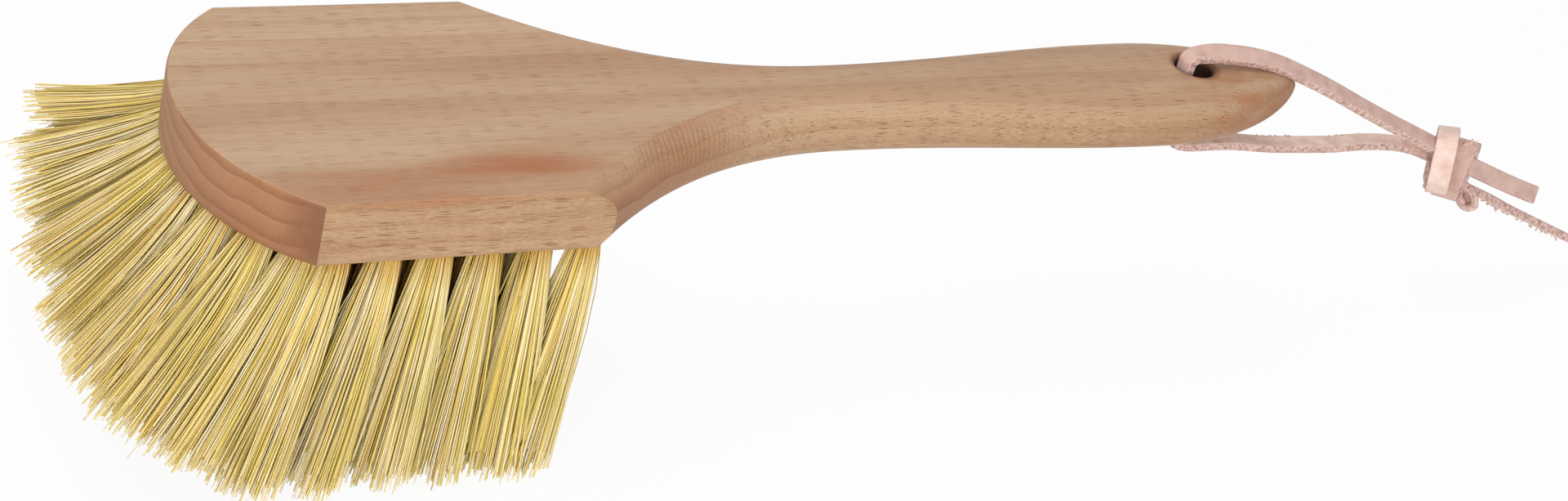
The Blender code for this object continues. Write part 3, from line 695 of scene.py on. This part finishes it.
def fibre_tree(material, defaults):
    """Node tree that grows bundles of fibre from a mesh with one vertex for each tuft."""
    tree = bpy.data.node_groups.new("fibre_bundles", "GeometryNodeTree")
    node = partial(add_node, tree)
    for way in ("INPUT", "OUTPUT"):
        tree.interface.new_socket("Geometry", in_out=way, socket_type="NodeSocketGeometry")
    for name, value in defaults.items():
        kind = "NodeSocketInt" if isinstance(value, int) else "NodeSocketFloat"
        socket = tree.interface.new_socket(name, in_out="INPUT", socket_type=kind)
        socket.default_value = value
    given = node("NodeGroupInput").node.outputs

    # What each fibre draws: raised to a power, so that most draws stay small, then times and plus.
    # In turn its place out from and round the tuft's axis, its tone, how far it falls short, how
    # far it strays, its place in the noise and its girth
    grown = node("GeometryNodeDuplicateElements", {
        "Geometry": given["Geometry"], "Amount": given["Fibres"]}, domain="POINT")
    for number, (name, power, times, plus) in enumerate((
            ("reach", 0.5, given["Root Radius"], 0.0), ("turn", 1.0, 2 * math.pi, 0.0),
            ("fibre_tone", 1.0, 1.0, 0.0), ("cut", 2.5, given["Trim"], 0.0),
            ("wander", 16.0, 3.2, 0.55), ("phase", 1.0, 400.0, 0.0),
            ("girth", 1.0, 0.68, 0.62)), 1):
        seed = node("Math", [given["Seed"], number])
        drawn = node("FunctionNodeRandomValue", {"Seed": seed}, 1, data_type="FLOAT")
        drawn = node("Math", [drawn, power], operation="POWER")
        drawn = node("Math", [drawn, times, plus], operation="MULTIPLY_ADD")
        grown = node("GeometryNodeStoreNamedAttribute", {
            "Geometry": grown, "Name": name, "Value": drawn}, data_type="FLOAT", domain="POINT")

    # A line of 6 points for each fibre
    line = node("GeometryNodeCurvePrimitiveLine", {"End": (0, 0, 1)})
    line = node("GeometryNodeResampleCurve", {"Curve": line, "Count": 6})
    grown = node("GeometryNodeInstanceOnPoints", {"Points": grown, "Instance": line})
    grown = node("GeometryNodeRealizeInstances", {"Geometry": grown})
    along = node("GeometryNodeSplineParameter", output="Factor")
    grown = node("GeometryNodeStoreNamedAttribute", {
        "Geometry": grown, "Name": "fibre_along", "Value": along},
        data_type="FLOAT", domain="POINT")
    stored = {}
    for kind, names in (
            ("FLOAT", ("fibre_along", "reach", "turn", "cut", "wander", "phase", "girth")),
            ("FLOAT_VECTOR", ("root", "knee", "tip", "side", "across"))):
        for name in names:
            stored[name] = node("GeometryNodeInputNamedAttribute", {"Name": name}, data_type=kind)

    # Along the tuft's line: a bow from the root past the knee to the tip
    kept = node("Math", [1.0, stored["cut"]], operation="SUBTRACT")
    share = node("Math", [stored["fibre_along"], kept], operation="MULTIPLY")
    bow = [stored["root"], stored["knee"], stored["tip"]]
    while len(bow) > 1:
        bow = [node("Mix", {0: share, 4: start, 5: end}, 1, data_type="VECTOR")
               for start, end in zip(bow, bow[1:])]
    place = bow[0]

    # Out from the tuft's line, more and more towards the tip
    widening = node("Math", [given["Tip Spread"], 1.0], operation="SUBTRACT")
    wider = node("Math", [share, widening, 1.0], operation="MULTIPLY_ADD")
    out = node("Math", [stored["reach"], wider], operation="MULTIPLY")
    for name, operation in (("side", "COSINE"), ("across", "SINE")):
        part = node("Math", [stored["turn"]], operation=operation)
        part = node("Math", [out, part], operation="MULTIPLY")
        place = node("VectorMath", [stored[name], part, place], operation="MULTIPLY_ADD")

    # Off to any side by noise, times four because it keeps near its middle, more at the tip
    spot = node("Math", [share, given["Curl"]], operation="MULTIPLY")
    spot = node("CombineXYZ", [spot, stored["phase"]])
    noise = node("TexNoise", {"Vector": spot, "Scale": 1.0, "Detail": 1.0}, "Color")
    drift = node("VectorMath", [noise, (0.5, 0.5, 0.5)], operation="SUBTRACT")
    strength = node("Math", [share, 4.0], operation="MULTIPLY")
    for factor in (stored["wander"], given["Wander"]):
        strength = node("Math", [strength, factor], operation="MULTIPLY")
    place = node("VectorMath", [drift, strength, place], operation="MULTIPLY_ADD")

    # Never under the floor
    parts = node("SeparateXYZ", [place]).node.outputs
    height = node("Math", [parts["Z"], 0.3 * MM], operation="MAXIMUM")
    place = node("CombineXYZ", [parts["X"], parts["Y"], height])
    grown = node("GeometryNodeSetPosition", {"Geometry": grown, "Position": place})

    # Three sides to a fibre, 15 % thinner at the tip
    girth = node("Math", [stored["fibre_along"], -0.15, 1.0], operation="MULTIPLY_ADD")
    for factor in (stored["girth"], given["Fibre Radius"]):
        girth = node("Math", [girth, factor], operation="MULTIPLY")
    ring = node("GeometryNodeCurvePrimitiveCircle", {"Resolution": 3, "Radius": 1.0})
    skin = node("GeometryNodeCurveToMesh", {"Curve": grown, "Profile Curve": ring, "Scale": girth,
                                            "Fill Caps": True})
    for name in sorted(stored.keys() - {"fibre_along"}):
        skin = node("GeometryNodeRemoveAttribute", {"Geometry": skin, "Name": name})
    skin = node("GeometryNodeRealizeInstances", {"Geometry": skin})
    skin = node("GeometryNodeSetMaterial", {"Geometry": skin, "Material": material})
    node("NodeGroupOutput", [skin])
    return tree


def tuft_seed_mesh(places):
    """One vertex for each tuft, with what the node tree reads about it."""
    mesh = bpy.data.meshes.new("tuft_seeds")
    mesh.from_pydata([place["mouth"] for place in places], [], [])
    for name in ("root", "knee", "tip", "side", "across"):
        attribute = mesh.attributes.new(name, "FLOAT_VECTOR", "POINT")
        vectors = np.array([place[name] for place in places], np.float32)
        attribute.data.foreach_set("vector", vectors.ravel())
    inner = mesh.attributes.new("inner", "FLOAT", "POINT")
    inner.data.foreach_set("value", [place["inner"] for place in places])
    return mesh


def make_fibre(sizes):
    material = fibre_material(sizes.fibre_colour)
    places = tuft_places()
    given = {"Fibres": sizes.fibres, "Fibre Radius": sizes.fibre_width / 2,
             "Root Radius": sizes.root_width / 2, "Tip Spread": sizes.tip_spread,
             "Wander": sizes.wander, "Curl": sizes.curl, "Trim": sizes.trim, "Seed": sizes.seed}
    tree = fibre_tree(material, given)
    sockets = {item.name: item.identifier for item in tree.interface.items_tree
               if item.in_out == "INPUT"}
    groups = [("front_fibre", range(0, 8), FRONT_SPREAD), ("near_fibre", range(8, 22), 1.0),
              ("middle_fibre", range(22, 35), 1.0), ("far_fibre", range(35, len(places)), 1.0)]
    for i, (name, numbers, spread) in enumerate(groups):
        given["Tip Spread"] = sizes.tip_spread * spread
        given["Seed"] = sizes.seed + SEEDS_APART * i
        piece = new_piece(name, tuft_seed_mesh([places[number] for number in numbers]), material)
        modifier = piece.modifiers.new("fibre_bundles", "NODES")
        modifier.node_group = tree
        for label, value in given.items():
            modifier[sockets[label]] = value
        grown = finished_mesh(piece, name)
        piece.modifiers.clear()
        piece.data = grown
        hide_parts(*(f"tuft_{number + 1:02d}" for number in numbers))
        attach(piece, "brush")


# Lace


def hole_point(point):
    """A route's point, read from the hanging hole's axis at mid thickness."""
    return Vector((NOSE_X + HOLE_X, 0, MIDDLE)) + Vector(point) * MM


def smooth_route(route):
    """Points on a Catmull-Rom curve through the route."""
    points = [hole_point(point) for point in route]
    padded = [2 * points[0] - points[1]] + points + [2 * points[-1] - points[-2]]
    smooth = []
    for a, b, c, d in zip(padded, padded[1:], padded[2:], padded[3:]):
        for t in (i / ROUTE_STEPS for i in range(ROUTE_STEPS)):
            smooth.append(0.5 * (2 * b + (c - a) * t + (2 * a - 5 * b + 4 * c - d) * t ** 2
                                 + (3 * b - a - 3 * c + d) * t ** 3))
    return smooth + [points[-1]]


def strip_section(width, thickness):
    """Outline of the strip's section, its corners rounded and its sides cut into short steps."""
    half_w, half_t = width / 2 - STRIP_CORNER, thickness / 2 - STRIP_CORNER
    outline = []
    for start, x_sign, y_sign in ((0, 1, 1), (1, -1, 1), (2, -1, -1), (3, 1, -1)):
        for i in range(4):
            turn = math.pi / 2 * (start + i / 3)
            outline.append((half_w * x_sign + STRIP_CORNER * math.cos(turn),
                            half_t * y_sign + STRIP_CORNER * math.sin(turn)))
    filled = []
    for a, b in zip(outline, outline[1:] + outline[:1]):
        steps = 1
        if abs(a[0] - b[0]) > STRIP_CORNER * 2:
            steps = 9
        elif abs(a[1] - b[1]) > STRIP_CORNER:
            steps = 4
        filled += [(a[0] + (b[0] - a[0]) * i / steps, a[1] + (b[1] - a[1]) * i / steps)
                   for i in range(steps)]
    return filled


def strip_shape(shape, points, width_ways, width, thickness, closed=False):
    """Sweeps the strip along the points, grain side to width x way; closed joins end to start."""
    section = strip_section(width, thickness)
    flesh = shape.verts.layers.float["flesh_side"]
    edge = shape.verts.layers.float["cut_edge_and_core_shade"]
    edge_from = width / 2 - STRIP_CORNER - 0.01 * MM
    loops = []
    last = len(points) - 1
    for i, (point, width_way) in enumerate(zip(points, width_ways)):
        if closed:
            ahead = points[(i + 1) % len(points)] - points[i - 1]
        else:
            ahead = points[min(i + 1, last)] - points[max(i - 1, 0)]
        tangent = ahead.normalized()
        across = (width_way - tangent * width_way.dot(tangent)).normalized()
        up = across.cross(tangent)
        ring = []
        for a, b in section:
            vert = shape.verts.new(point + across * a + up * b)
            vert[flesh] = float(b < 0)
            vert[edge] = float(abs(a) > edge_from and abs(b) < thickness * EDGE_SHARE)
            ring.append(vert)
        loops.append(ring)
    join_loops(shape, loops, closed)


def rolled(path, width_way, degrees):
    """Width directions that roll about the lace, from none in the hole to the full angle."""
    ways = []
    for point in path:
        out = (point.x - (NOSE_X + HOLE_X) - ROLL_START) / ROLL_STRETCH
        out = max(0.0, min(1.0, out))
        turn = math.radians(degrees) * out * out * (3 - 2 * out)
        ways.append(Matrix.Rotation(turn, 3, "X") @ width_way)
    return ways


def new_leather_shape():
    shape = bmesh.new()
    shape.verts.layers.float.new("flesh_side")
    shape.verts.layers.float.new("cut_edge_and_core_shade")
    return shape


def lace_piece(name, shape, material):
    mesh = as_mesh(name, shape)
    mesh.shade_smooth()
    mesh.set_sharp_from_angle(angle=LEATHER_CREASE)
    return new_piece(name, mesh, material)


def stretch_piece(sizes, material, name, path, ways, torn=None):
    """One stretch of the lace, with shreds where it is torn."""
    shape = new_leather_shape()
    strip_shape(shape, path, ways, sizes.lace_width, sizes.lace_thickness)
    if torn:
        shreds(shape, path, *torn)
    return lace_piece(name, shape, material)


def make_lace(sizes):
    material = leather_material(sizes.leather_colour)
    hole = hole_point((0, 0, 0))
    across = Vector((0, 1, 0))
    upper_path, lower_path, long_path, short_path = (
        smooth_route(route) for route in (UPPER_ROUTE, LOWER_ROUTE, LONG_TAIL_ROUTE,
                                          SHORT_TAIL_ROUTE))
    upper = stretch_piece(sizes, material, "lace_over", upper_path,
                          rolled(upper_path, -across, UPPER_ROLL))
    lower = stretch_piece(sizes, material, "lace_under", lower_path,
                          rolled(lower_path, across, LOWER_ROLL), LOWER_TORN)
    knot = knot_piece(material)
    long_tail = stretch_piece(sizes, material, "lace_long_end", long_path,
                              [LONG_TAIL_WAY] * len(long_path), LONG_TAIL_TORN)
    short_tail = stretch_piece(sizes, material, "lace_short_end", short_path,
                               [SHORT_TAIL_WAY] * len(short_path))

    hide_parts("lace_bight", "lace_upper")
    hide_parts("lace_lower")
    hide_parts("lace_knot")
    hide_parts("lace_tail_long")
    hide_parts("lace_tail_short")
    for piece in (upper, lower):
        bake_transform(piece, "bight", "loop", hole + Vector((BEND_START, 0, 0)),
                 hole + Vector((BEND_END, 0, 0)))
    for piece in (knot, long_tail, short_tail):
        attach(piece, "loop")


def wrap(shape, centre, axis, rise, depth, height, width, thickness, flesh_out):
    """One closed turn of the strip round the lace, oval, with its width along the axis."""
    side = rise.cross(axis).normalized()
    path = [centre + side * depth * out + rise * height * up
            for out, up in unit_oval(40, WRAP_FULLNESS)]
    way = axis if flesh_out else -axis
    strip_shape(shape, path, [way] * len(path), width, thickness, closed=True)


def nib(shape, base, way, side, length, width):
    """A torn shred of leather: a thin wedge that ends in a point."""
    depth = way.cross(side).normalized() * width * 0.4
    corners = [shape.verts.new(base + side * (width / 2 * a) + depth * b)
               for a, b in ((1, 1), (-1, 1), (-1, -1), (1, -1))]
    tip = shape.verts.new(base + way * length)
    shape.faces.new(corners)
    for a, b in zip(corners, corners[1:] + corners[:1]):
        shape.faces.new((a, b, tip))


def shreds(shape, path, edge, stretch, count, seed):
    """Torn shreds along one edge of the strip, between two shares of its length."""
    draw = random.Random(seed)
    for _ in range(count):
        at = draw.uniform(*stretch) * (len(path) - 1)
        i = min(int(at), len(path) - 2)
        along = (path[i + 1] - path[i]).normalized()
        base = path[i].lerp(path[i + 1], at - i) + edge
        way = edge.normalized() + along * draw.uniform(-0.9, 0.9)
        nib(shape, base, way.normalized(), along, draw.uniform(0.4, 1.15) ** 2 * MM,
            draw.uniform(0.5, 1.2) * MM)


def knot_piece(material):
    """The knot: two wraps of the strip about a filled core, a rolled turn below, torn nibs."""
    shape = new_leather_shape()
    centre = hole_point(KNOT_CENTRE)
    axis = Vector((0.77, -0.64, 0.21)).normalized()
    rise = Vector((-0.03, 0.16, 0.99))
    left_wrap = centre + Vector((-6.1, -1.4, 3.9)) * MM
    roll = centre + Vector((8.9, 0, -9.9)) * MM
    roll_axis = Vector((0.47, 0.71, -0.52))
    roll_rise = Vector((0.25, -0.6, 0.76))

    # Cores: middle, long way, upright way, half depth and height, sides, and how far along the
    # core each ring lies with its share of the full girth, all in millimetres
    # The cores take the darker cut-edge colour all over: painted shade inside the knot and its loop
    cut_edge_and_core_shade = shape.verts.layers.float["cut_edge_and_core_shade"]
    for middle, way, up, depth, height, sides, rings in (
            (centre, axis, rise, 4.4, 7.4, 24, ((-7.2, 0.5), (-6.4, 0.82), (-4.5, 1.0),
                                                (2.2, 0.98), (3.8, 0.84), (4.4, 0.5))),
            (left_wrap, axis, rise, 5.2, 7.0, 24, ((-2.5, 0.6), (-1.8, 0.95), (1.2, 0.95),
                                                   (2.0, 0.6))),
            (roll, roll_axis, roll_rise, 2.6, 1.8, 16, ((0.8, 1.0), (2.2, 1.0)))):
        side = up.cross(way).normalized()
        for ring in loft_shape(shape, [round_ring(middle + way * along * MM,
                                                  side * girth * depth * MM,
                                                  up * girth * height * MM, sides)
                                       for along, girth in rings]):
            for vert in ring:
                vert[cut_edge_and_core_shade] = 1.0

    # Wraps: middle, axis, upright way, half depth and height, the strip's width and thickness
    # in millimetres, and whether its flesh side is out
    for middle, way, up, *measures, flesh_out in (
            (left_wrap, axis, rise, 6.4, 8.3, 6.0, 1.9, True),
            (centre + Vector((1.5, 0, -0.4)) * MM, Vector((0.65, -0.82, 0.14)).normalized(),
             Vector((0.11, 0.08, 0.99)), 5.0, 7.8, 7.4, 1.9, False),
            (roll, roll_axis, roll_rise, 3.2, 2.2, 5.0, 1.7, False)):
        wrap(shape, middle, way, up, *(measure * MM for measure in measures), flesh_out)

    # Nibs: across and up from the knot's middle, the way they point and their length
    for x, z, way, length in (
            (0.4, 8.2, (-0.1, -0.2, 0.97), 1.6), (1.8, 8.2, (0.2, -0.1, 0.97), 2.2),
            (3.2, 7.6, (0.4, -0.1, 0.9), 2.2), (4.8, 6.0, (0.9, -0.2, 0.3), 1.6),
            (-8.2, -4.4, (-0.5, -0.3, -0.8), 1.2)):
        nib(shape, centre + Vector((x, -1.0, z)) * MM, Vector(way).normalized(),
            Vector((0.8, -0.5, 0.1)).normalized(), length * MM, 1.7 * MM)
    return lace_piece("lace_knot_wraps", shape, material)


# Stage

CAMERA_PLACE = (-0.339715, -0.54426, 0.42367)
CAMERA_RIGHT = (0.87929, -0.42149, 0.22179)
CAMERA_DOWN = (-0.06093, -0.56139, -0.8253)
CAMERA_FORWARD = (0.47237, 0.71217, -0.51931)
CAMERA_LENS = 71.25
FLOOR_DROP = 0.2 * MM
GLOW_SHARE = 0.93


def make_camera():
    """The photo's camera: a long lens from the near side, above and before the brush."""
    data = bpy.data.cameras.new("photo_view")
    data.lens = CAMERA_LENS
    data.sensor_width = 36.0
    data.sensor_fit = "HORIZONTAL"
    data.clip_start = 0.01
    camera = new_object("photo_view", data)
    turn = Matrix((CAMERA_RIGHT, -Vector(CAMERA_DOWN), -Vector(CAMERA_FORWARD))).transposed()
    camera.matrix_world = Matrix.Translation(CAMERA_PLACE) @ turn.to_4x4()
    bpy.context.scene.camera = camera


def add_softbox(name, place, target, size, power):
    data = bpy.data.lights.new(name, "AREA")
    data.shape = "SQUARE"
    data.size = size
    data.energy = power
    lamp = new_object(name, data)
    lamp.location = place
    lamp.rotation_euler = (Vector(target) - Vector(place)).to_track_quat("-Z", "Y").to_euler()


def seen_directly(node):
    """1 for what the camera sees, gloss and glass included, and 0 for what lights the brush."""
    rays = node("LightPath").node.outputs
    seen = rays["Is Camera Ray"]
    for kind in ("Is Glossy Ray", "Is Transmission Ray"):
        seen = node("Math", [seen, rays[kind]], operation="MAXIMUM")
    return seen


def make_stage(settings):
    scene = bpy.context.scene
    scene.view_settings.view_transform = "Standard"
    make_camera()

    half = settings.floor_width / 2
    mesh = bpy.data.meshes.new("floor")
    mesh.from_pydata([(x * half, y * half, -FLOOR_DROP)
                      for x, y in ((-1, -1), (1, -1), (1, 1), (-1, 1))], [], [(0, 1, 2, 3)])

    # Matt board that glows for the camera alone, as overexposed white does in the photo
    material, node = new_material("matt_white_board")
    shader = node("BsdfPrincipled", {"Base Color": settings.floor_colour, "Roughness": 0.9})
    glow = node("Emission", {"Color": grey(1.0), "Strength": 1.0})
    share = node("Math", [seen_directly(node), GLOW_SHARE], operation="MULTIPLY")
    cover = node("MixShader", [share, shader, glow])
    node("OutputMaterial", {"Surface": cover})
    new_piece("floor", mesh, material)

    world = bpy.data.worlds.new("soft_white_room")
    scene.world = world
    world.use_nodes = True
    world.node_tree.nodes.clear()
    node = partial(add_node, world.node_tree)
    strength = node("MapRange", {0: seen_directly(node), 3: settings.room_light, 4: 1.0})
    sky = node("Background", {"Color": grey(1.0), "Strength": strength})
    node("OutputWorld", {"Surface": sky})

    target = (0.0, 0.0, 0.05)
    add_softbox("key_softbox", (-0.35, 0.15, 1.1), target, 0.9, settings.key_power)
    add_softbox("fill_softbox", (-0.55, -1.05, 0.42), target, 0.8, settings.fill_power)


# Add-on


class BrushWoodSizes(bpy.types.PropertyGroup):
    lower_edge: bpy.props.FloatProperty(
        name="Lower edge", description="Radius on the block's lower edge",
        default=2.2 * MM, min=0.1 * MM, unit="LENGTH")
    upper_edge: bpy.props.FloatProperty(
        name="Upper edge", description="Radius on the block's upper edge",
        default=0.6 * MM, min=0.1 * MM, unit="LENGTH")
    wood_colour: bpy.props.FloatVectorProperty(
        name="Wood colour", description="Middle tone of the beech", default=linear("#B69474"),
        size=4, min=0.0, max=1.0, subtype="COLOR")
    nose_steps: bpy.props.IntProperty(
        name="Front steps", description="Faces along the arched front", default=72, min=8)
    section_sides: bpy.props.IntProperty(
        name="Handle sides", description="Faces round the handle", default=96, min=16)


class BrushFibreSizes(bpy.types.PropertyGroup):
    fibres: bpy.props.IntProperty(
        name="Fibres", description="Fibres in each tuft", default=360, min=1)
    fibre_width: bpy.props.FloatProperty(
        name="Fibre width", description="Width of one fibre", default=0.42 * MM, unit="LENGTH")
    root_width: bpy.props.FloatProperty(
        name="Tuft width", description="Width of a tuft where it leaves its hole",
        default=5.5 * MM, unit="LENGTH")
    tip_spread: bpy.props.FloatProperty(
        name="Tip spread", description="How many times wider a tuft is at its tips", default=3.0)
    wander: bpy.props.FloatProperty(
        name="Wander", description="How far a fibre strays from its line", default=1.9 * MM,
        unit="LENGTH")
    curl: bpy.props.FloatProperty(
        name="Curl", description="How often a fibre turns along its length", default=0.55)
    trim: bpy.props.FloatProperty(
        name="Trim", description="Share by which the shortest fibre falls short", default=0.09)
    seed: bpy.props.IntProperty(name="Seed", description="Seed of the fibre's draws", default=11)
    fibre_colour: bpy.props.FloatVectorProperty(
        name="Fibre colour", description="Middle tone of the fibre", default=linear("#FDE79C"),
        size=4, min=0.0, max=1.0, subtype="COLOR")


class BrushLaceSizes(bpy.types.PropertyGroup):
    lace_width: bpy.props.FloatProperty(
        name="Lace width", description="Width of the leather strip", default=5.0 * MM,
        unit="LENGTH")
    lace_thickness: bpy.props.FloatProperty(
        name="Lace thickness", description="Thickness of the leather strip", default=2.4 * MM,
        unit="LENGTH")
    leather_colour: bpy.props.FloatVectorProperty(
        name="Leather colour", description="Middle tone of the grain side",
        default=linear("#CBA89C"), size=4, min=0.0, max=1.0, subtype="COLOR")


class BrushStageSettings(bpy.types.PropertyGroup):
    floor_width: bpy.props.FloatProperty(
        name="Floor width", description="Width of the floor", default=8.0, unit="LENGTH")
    floor_colour: bpy.props.FloatVectorProperty(
        name="Floor colour", description="Colour of the floor", default=linear("#F2F2F2"),
        size=4, min=0.0, max=1.0, subtype="COLOR")
    room_light: bpy.props.FloatProperty(
        name="Room light", description="Strength of the white room", default=0.50)
    key_power: bpy.props.FloatProperty(
        name="Key power", description="Power of the large soft lamp above", default=5.4,
        unit="POWER")
    fill_power: bpy.props.FloatProperty(
        name="Fill power", description="Power of the soft lamp at the front", default=10.8,
        unit="POWER")


class BRUSH_OT_make_wood(bpy.types.Operator):
    """Make the beech block and handle"""
    bl_idname = "brush.make_wood"
    bl_label = "Make wood"

    def execute(self, context):
        make_wood(context.scene.brush_wood)
        return {"FINISHED"}


class BRUSH_OT_make_fibre(bpy.types.Operator):
    """Make the fibre tufts"""
    bl_idname = "brush.make_fibre"
    bl_label = "Make fibre"

    def execute(self, context):
        make_fibre(context.scene.brush_fibre)
        return {"FINISHED"}


class BRUSH_OT_make_lace(bpy.types.Operator):
    """Make the leather lace with its knot"""
    bl_idname = "brush.make_lace"
    bl_label = "Make lace"

    def execute(self, context):
        make_lace(context.scene.brush_lace)
        return {"FINISHED"}


class BRUSH_OT_make_stage(bpy.types.Operator):
    """Make the floor, the light and the camera"""
    bl_idname = "brush.make_stage"
    bl_label = "Make stage"

    def execute(self, context):
        make_stage(context.scene.brush_stage)
        return {"FINISHED"}


class BRUSH_PT_pieces(bpy.types.Panel):
    """Lists the brush's sizes and pieces"""
    bl_idname = "BRUSH_PT_pieces"
    bl_label = "Fibre hand brush"
    bl_space_type = "VIEW_3D"
    bl_region_type = "UI"
    bl_category = "Brush"

    def draw(self, context):
        for name in ("stage", "lace", "fibre", "wood"):
            box = self.layout.box()
            settings = getattr(context.scene, f"brush_{name}")
            for setting in settings.__annotations__:
                box.prop(settings, setting)
            box.operator(f"brush.make_{name}")


SETTINGS = {"brush_wood": BrushWoodSizes, "brush_fibre": BrushFibreSizes,
            "brush_lace": BrushLaceSizes, "brush_stage": BrushStageSettings}
CLASSES = (*SETTINGS.values(), BRUSH_OT_make_wood, BRUSH_OT_make_fibre, BRUSH_OT_make_lace,
           BRUSH_OT_make_stage, BRUSH_PT_pieces)


def register():
    for kind in CLASSES:
        bpy.utils.register_class(kind)
    for name, kind in SETTINGS.items():
        setattr(bpy.types.Scene, name, bpy.props.PointerProperty(type=kind))


def unregister():
    for name in SETTINGS:
        delattr(bpy.types.Scene, name)
    for kind in reversed(CLASSES):
        bpy.utils.unregister_class(kind)


def main():
    register()
    bpy.ops.brush.make_stage()
    bpy.ops.brush.make_lace()
    bpy.ops.brush.make_fibre()
    bpy.ops.brush.make_wood()


if __name__ == "__main__":
    main()
